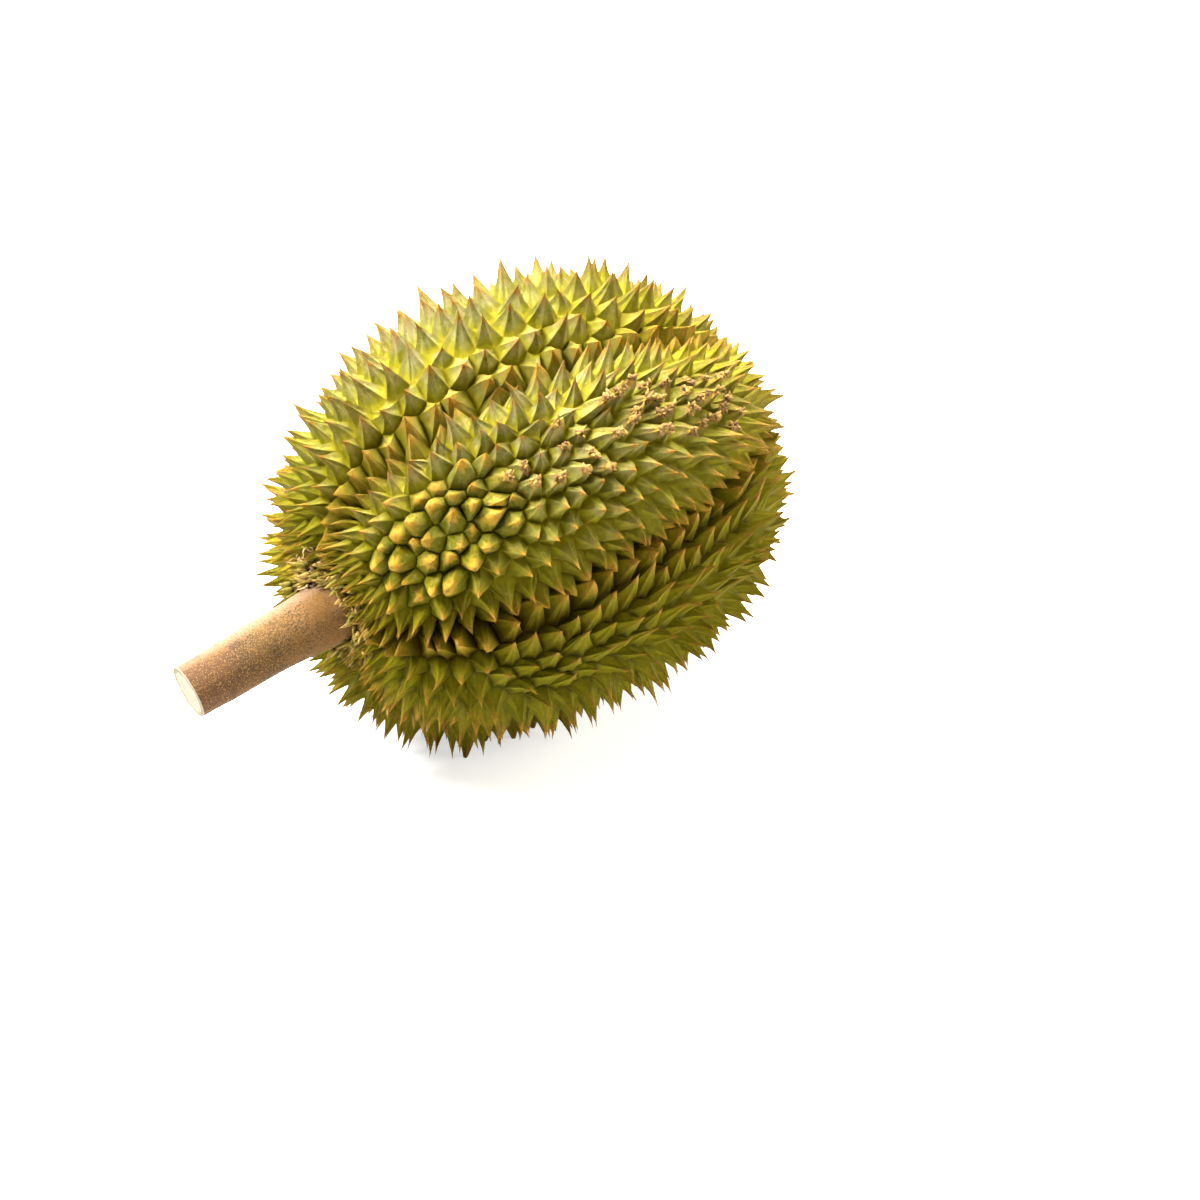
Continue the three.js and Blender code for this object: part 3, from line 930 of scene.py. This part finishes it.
# Bark with a painted highlight along the top, finely dotted from the middle to the cut.
def barkColour(tree, run, clouds, grain, specks, scurf):
    colours = stalkColours
    bark = blendColours(tree, mapTo(tree, clouds, 0.4, 0.65), colours["tan"], colours["pink"])
    # painted highlight: a pale band along the side that faces the light
    topmost = mapTo(tree, attribute(tree, "topmost"), 0.86, 1.0)
    bark = blendColours(tree, multiply(tree, topmost, 0.8), bark, colours["paintedHighlight"])
    bark = blendColours(tree, mapTo(tree, grain, 0.42, 0.62, 0.0, 0.3), bark, colours["rust"])
    reddened = multiply(tree, mapTo(tree, run, 0.45, 0.9), mapTo(tree, topmost, 0.0, 1.0, 0.6, 0.1))
    bark = blendColours(tree, reddened, bark, colours["rust"])
    crowded = multiply(tree, mapTo(tree, run, 0.1, 0.5), mapTo(tree, topmost, 0.0, 0.7, 1.0, 0.0))
    limit = add(tree, specks, multiply(tree, crowded, 0.15))
    dotted = multiply(tree, mapTo(tree, limit, 0.56, 0.62), mapTo(tree, clouds, 0.3, 0.6, 0.45, 1.0))
    dark = blendColours(tree, mapTo(tree, run, 0.55, 0.85), colours["moss"], colours["rust"])
    bark = blendColours(tree, multiply(tree, dotted, 0.9), bark, dark)
    flecks = multiply(tree, mapTo(tree, scurf, 0.3, 0.16), mapTo(tree, run, 0.25, 0.6, 0.15, 0.9))
    flecks = multiply(tree, flecks, mapTo(tree, topmost, 0.0, 0.8, 1.0, 0.3))
    bark = blendColours(tree, flecks, bark, colours["fleck"])
    sooty = multiply(tree, mapTo(tree, clouds, 0.62, 0.75), mapTo(tree, run, 0.5, 0.9))
    return blendColours(tree, sooty, bark, colours["soot"])


# The cut end: pale wood with faint rings, a thin green layer, and a dark rim.
def woodColour(tree, cut, clouds, grain):
    colours = stalkColours
    growth = addNode(tree, "Math", {0: multiply(tree, cut, 60.0)}, operation="SINE").outputs[0]
    growth = multiply(tree, mapTo(tree, growth, 0.2, 1.0), mapTo(tree, clouds, 0.3, 0.7, 0.1, 0.3))
    wood = blendColours(tree, growth, colours["wood"], colours["ring"])
    wood = blendColours(tree, mapTo(tree, cut, 0.8, 0.93), wood, colours["woodEdge"])
    wood = blendColours(tree, mapTo(tree, grain, 0.5, 0.7, 0.0, 0.3), wood, colours["tan"])
    return blendColours(tree, mapTo(tree, cut, 0.955, 0.985), wood, colours["rim"])


def stalkMaterial():
    material, tree, shader = startMaterial("stalkBark")
    place = addNode(tree, "TexCoord").outputs["Object"]
    cut, run = attribute(tree, "cut"), attribute(tree, "run")
    clouds = addNoise(tree, place, 90.0, 4.0)
    grain = addNoise(tree, place, 1300.0, 3.0, 0.7)
    specks = addNoise(tree, place, 1500.0, 2.0, 0.7)
    bark = barkColour(tree, run, clouds, grain, specks, addCells(tree, place, 1500.0))
    wood = woodColour(tree, cut, clouds, grain)
    skin = blendColours(tree, mapTo(tree, cut, 0.001, 0.005), bark, wood)
    tree.links.new(skin, shader.inputs["Base Color"])
    tree.links.new(mapTo(tree, grain, 0.3, 0.7, 0.68, 0.9), shader.inputs["Roughness"])
    shader.inputs["Specular IOR Level"].default_value = 0.25
    shader.inputs["Specular Tint"].default_value = (1.0, 0.85, 0.6, 1)
    addBump(tree, shader, add(tree, specks, grain), 0.6, 0.35 * mm)
    return material


stalk = buildStalk()
stalk.data.materials.append(stalkMaterial())
print(f"stalk: {len(stalk.data.polygons)} faces")


# The dry scales round the stalk, and a tuft of dried tissue above it. Angles are degrees round the
# stalk from its top. Where a pair is given, a piece is anywhere between the two.
collar = {
    "nearest": 13.2 * mm, "farthest": 24 * mm,
    "rooted": 1.5,              # how far a scale starts down in the husk, in mm
    "scales": 330,
    "length": (4 * mm, 8.5 * mm),
    "width": (2 * mm, 4 * mm),
    "thickness": 0.75,          # of the width
    "closeScales": 130,         # of them, pressed to the stalk
    "closeReach": 0.22,         # how far out those are, of the way from nearest to farthest
    "closeRise": 4.5,           # how far up the stalk they may be, in mm
    "hairs": 110,
    "hairLength": (3 * mm, 7 * mm),
    "hairWidth": (0.35 * mm, 0.8 * mm),
    "hairThickness": 0.6,
    "tuftAngle": 46, "tuftSpread": 30,
    "tuftHairs": 100,
    "tuftWidth": (0.8 * mm, 2.0 * mm),
    "tuftOut": (12.2, 13.4),    # half of them start this far from the stalk's axis, in mm
    "tuftUp": (6, 17),          # and this far up it, in mm
    "heap": 8 * mm,             # how far the tissue is heaped up there
    "shades": {"scales": (0, 0.7), "hairs": (0.5, 0.85), "tuft": (0.82, 1)},
}
# Torn fibres at the tips of frayed thorns.
fray = {
    "perThorn": (10, 16),
    "length": (1.4 * mm, 3.8 * mm),
    "width": (1.4 * mm, 3.2 * mm),
    "thickness": 0.6,
    "down": (0.8, 4.5),         # how far below the tip they start, in mm
    "scatter": 0.9,             # and how far to any side of it, in mm
    "splay": 0.75,
    "curl": 2.4,
    "shades": (0, 0.85),
}


class Blades:
    def __init__(self):
        self.verts, self.faces, self.owns, self.reaches = [], [], [], []

    # A pointed blade of four sides that curls as it goes, closed at its root.
    def add(self, root, direction, flatTo, length, width, thickness, curl, own):
        steps = 4
        across = direction.cross(flatTo).normalized()
        heading, place = direction.normalized(), root.copy()
        first = len(self.verts)
        for step in range(steps):
            share = step / steps
            half = 0.5 * width * (1 - share ** 1.6) * (0.75 + 0.5 * math.sin(math.pi * share))
            face = across.cross(heading).normalized()
            ring = (across * half, face * half * thickness, -across * half, -face * half * thickness)
            for offset in ring:
                self.verts.append(place + offset)
                self.owns.append(own)
                self.reaches.append(share)
            heading = (heading + curl / steps).normalized()
            across = (across - heading * across.dot(heading)).normalized()
            place = place + heading * length / steps
        self.verts.append(place)
        self.owns.append(own)
        self.reaches.append(1.0)
        for step in range(steps - 1):
            for i in range(4):
                a, b = first + 4 * step + i, first + 4 * step + (i + 1) % 4
                self.faces.append((a, b, b + 4, a + 4))
        top = first + 4 * (steps - 1)
        for i in range(4):
            self.faces.append((top + i, top + (i + 1) % 4, len(self.verts) - 1))
        self.faces.append((first + 3, first + 2, first + 1, first))

    def toObject(self, name):
        mesh = bpy.data.meshes.new(name)
        mesh.from_pydata(self.verts, [], self.faces)
        mesh.shade_smooth()
        paint(mesh, "own", self.owns)
        paint(mesh, "reach", self.reaches)
        piece = addObject(name, mesh)
        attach(piece, "root")
        return piece


def buildCollar(huskTree):
    rng = random.Random(fruit["seed"] + 1)
    base, direction, side, over, _ = stalkFrame()
    blades = Blades()
    reach = collar["farthest"] - collar["nearest"]

    def rootAt(angle, radius):
        out = over * math.cos(angle) + side * math.sin(angle)
        start = base + direction * 45 * mm + out * radius
        hit = huskTree.ray_cast(start, -direction)[0] or base + out * radius
        near = max(0, math.cos(angle - math.radians(collar["tuftAngle"]))) ** 2
        heap = collar["heap"] * near * (collar["farthest"] - radius) / reach
        return hit + direction * heap * rng.uniform(0.1, 1), out

    for i in range(collar["scales"]):
        angle = rng.uniform(0, 2 * math.pi)
        radius = mix(collar["nearest"], collar["farthest"], rng.random() ** 1.5)
        rise = 0
        if i < collar["closeScales"]:
            radius = mix(collar["nearest"], collar["farthest"], rng.random() * collar["closeReach"])
            rise = rng.uniform(0, collar["closeRise"]) * mm
        root, out = rootAt(angle, radius)
        root += direction * rise
        lean = direction + out * rng.uniform(0.1, 0.9) + randomWay(rng) * 0.2
        length, width = rng.uniform(*collar["length"]), rng.uniform(*collar["width"])
        curl = out * rng.uniform(-0.5, 0.7) + randomWay(rng) * 0.3
        own = rng.uniform(*collar["shades"]["scales"])
        start = root - direction * collar["rooted"] * mm
        blades.add(start, lean, out, length, width, collar["thickness"], curl, own)
    for i in range(collar["hairs"] + collar["tuftHairs"]):
        angle = rng.uniform(0, 2 * math.pi)
        radius = rng.uniform(collar["nearest"] - 0.4 * mm, collar["farthest"])
        if i >= collar["hairs"]:
            angle = math.radians(rng.gauss(collar["tuftAngle"], collar["tuftSpread"] / 2))
            radius = rng.uniform(collar["nearest"], collar["farthest"] + 3 * mm)
        root, out = rootAt(angle, radius)
        if i >= collar["hairs"] + collar["tuftHairs"] / 2:
            root = base + out * rng.uniform(*collar["tuftOut"]) * mm
            root += direction * rng.uniform(*collar["tuftUp"]) * mm
        lean = direction + out * rng.uniform(-0.1, 0.7) + randomWay(rng) * 0.7
        width, own = rng.uniform(*collar["hairWidth"]), rng.uniform(*collar["shades"]["hairs"])
        if i >= collar["hairs"]:
            width, own = rng.uniform(*collar["tuftWidth"]), rng.uniform(*collar["shades"]["tuft"])
        length, curl = rng.uniform(*collar["hairLength"]), randomWay(rng) * 1.6
        blades.add(root - direction * mm, lean, out, length, width, collar["hairThickness"], curl, own)
    return blades.toObject("stalkCollar")


def buildFray():
    rng = random.Random(fruit["seed"] + 2)
    blades = Blades()
    for thorn in thorns:
        if thorn["frayed"] < 0.5:
            continue
        spike = (thorn["tip"] - thorn["base"]).normalized()
        for _ in range(rng.randint(*fray["perThorn"])):
            root = thorn["tip"] - spike * rng.uniform(*fray["down"]) * mm
            root += randomWay(rng) * fray["scatter"] * mm
            lean, flatTo = spike + randomWay(rng) * fray["splay"], randomWay(rng)
            length, width = rng.uniform(*fray["length"]), rng.uniform(*fray["width"])
            curl, own = randomWay(rng) * fray["curl"], rng.uniform(*fray["shades"])
            blades.add(root, lean, flatTo, length, width, fray["thickness"], curl, own)
    return blades.toObject("frayedTips")


dryColours = {
    "dark": (0.03, 0.014, 0.005, 1),
    "brown": (0.1, 0.048, 0.014, 1),
    "rust": (0.26, 0.16, 0.03, 1),
    "straw": (0.33, 0.205, 0.055, 1),
    "cream": (0.56, 0.42, 0.24, 1),
    "olive": (0.14, 0.12, 0.008, 1),
}


# Dry tissue that goes from one colour at its root to another between low and high, piece by piece.
def dryMaterial(name, root, low, high):
    material, tree, shader = startMaterial(name)
    place = addNode(tree, "TexCoord").outputs["Object"]
    own, reach = attribute(tree, "own"), attribute(tree, "reach")
    grain = addNoise(tree, place, 900.0, 3.0, 0.7)
    colour = blendColours(tree, mapTo(tree, own, 0.1, 0.9), low, high)
    colour = blendColours(tree, mapTo(tree, reach, 0.65, 1.0, 0.0, 0.6), colour, dryColours["straw"])
    colour = blendColours(tree, mapTo(tree, own, 0.88, 0.94), colour, dryColours["cream"])
    colour = blendColours(tree, mapTo(tree, reach, 0.3, 0.0), colour, root)
    colour = blendColours(tree, mapTo(tree, grain, 0.48, 0.72, 0.0, 0.55), colour, dryColours["dark"])
    tree.links.new(colour, shader.inputs["Base Color"])
    tree.links.new(mapTo(tree, grain, 0.3, 0.7, 0.7, 0.9), shader.inputs["Roughness"])
    shader.inputs["Specular IOR Level"].default_value = 0.25
    addBump(tree, shader, grain, 0.5, 0.3 * mm)
    return material


huskTree = BVHTree.FromPolygons(
    [v.co for v in husk.data.vertices], [p.vertices[:] for p in husk.data.polygons],
)
stalkCollar = buildCollar(huskTree)
stalkCollar.data.materials.append(
    dryMaterial("dryScales", dryColours["dark"], dryColours["olive"], dryColours["straw"]),
)
frayedTips = buildFray()
frayedTips.data.materials.append(
    dryMaterial("frayedFibre", dryColours["brown"], dryColours["brown"], dryColours["rust"]),
)
print(f"dry pieces: {len(stalkCollar.data.polygons)} and {len(frayedTips.data.polygons)} faces")
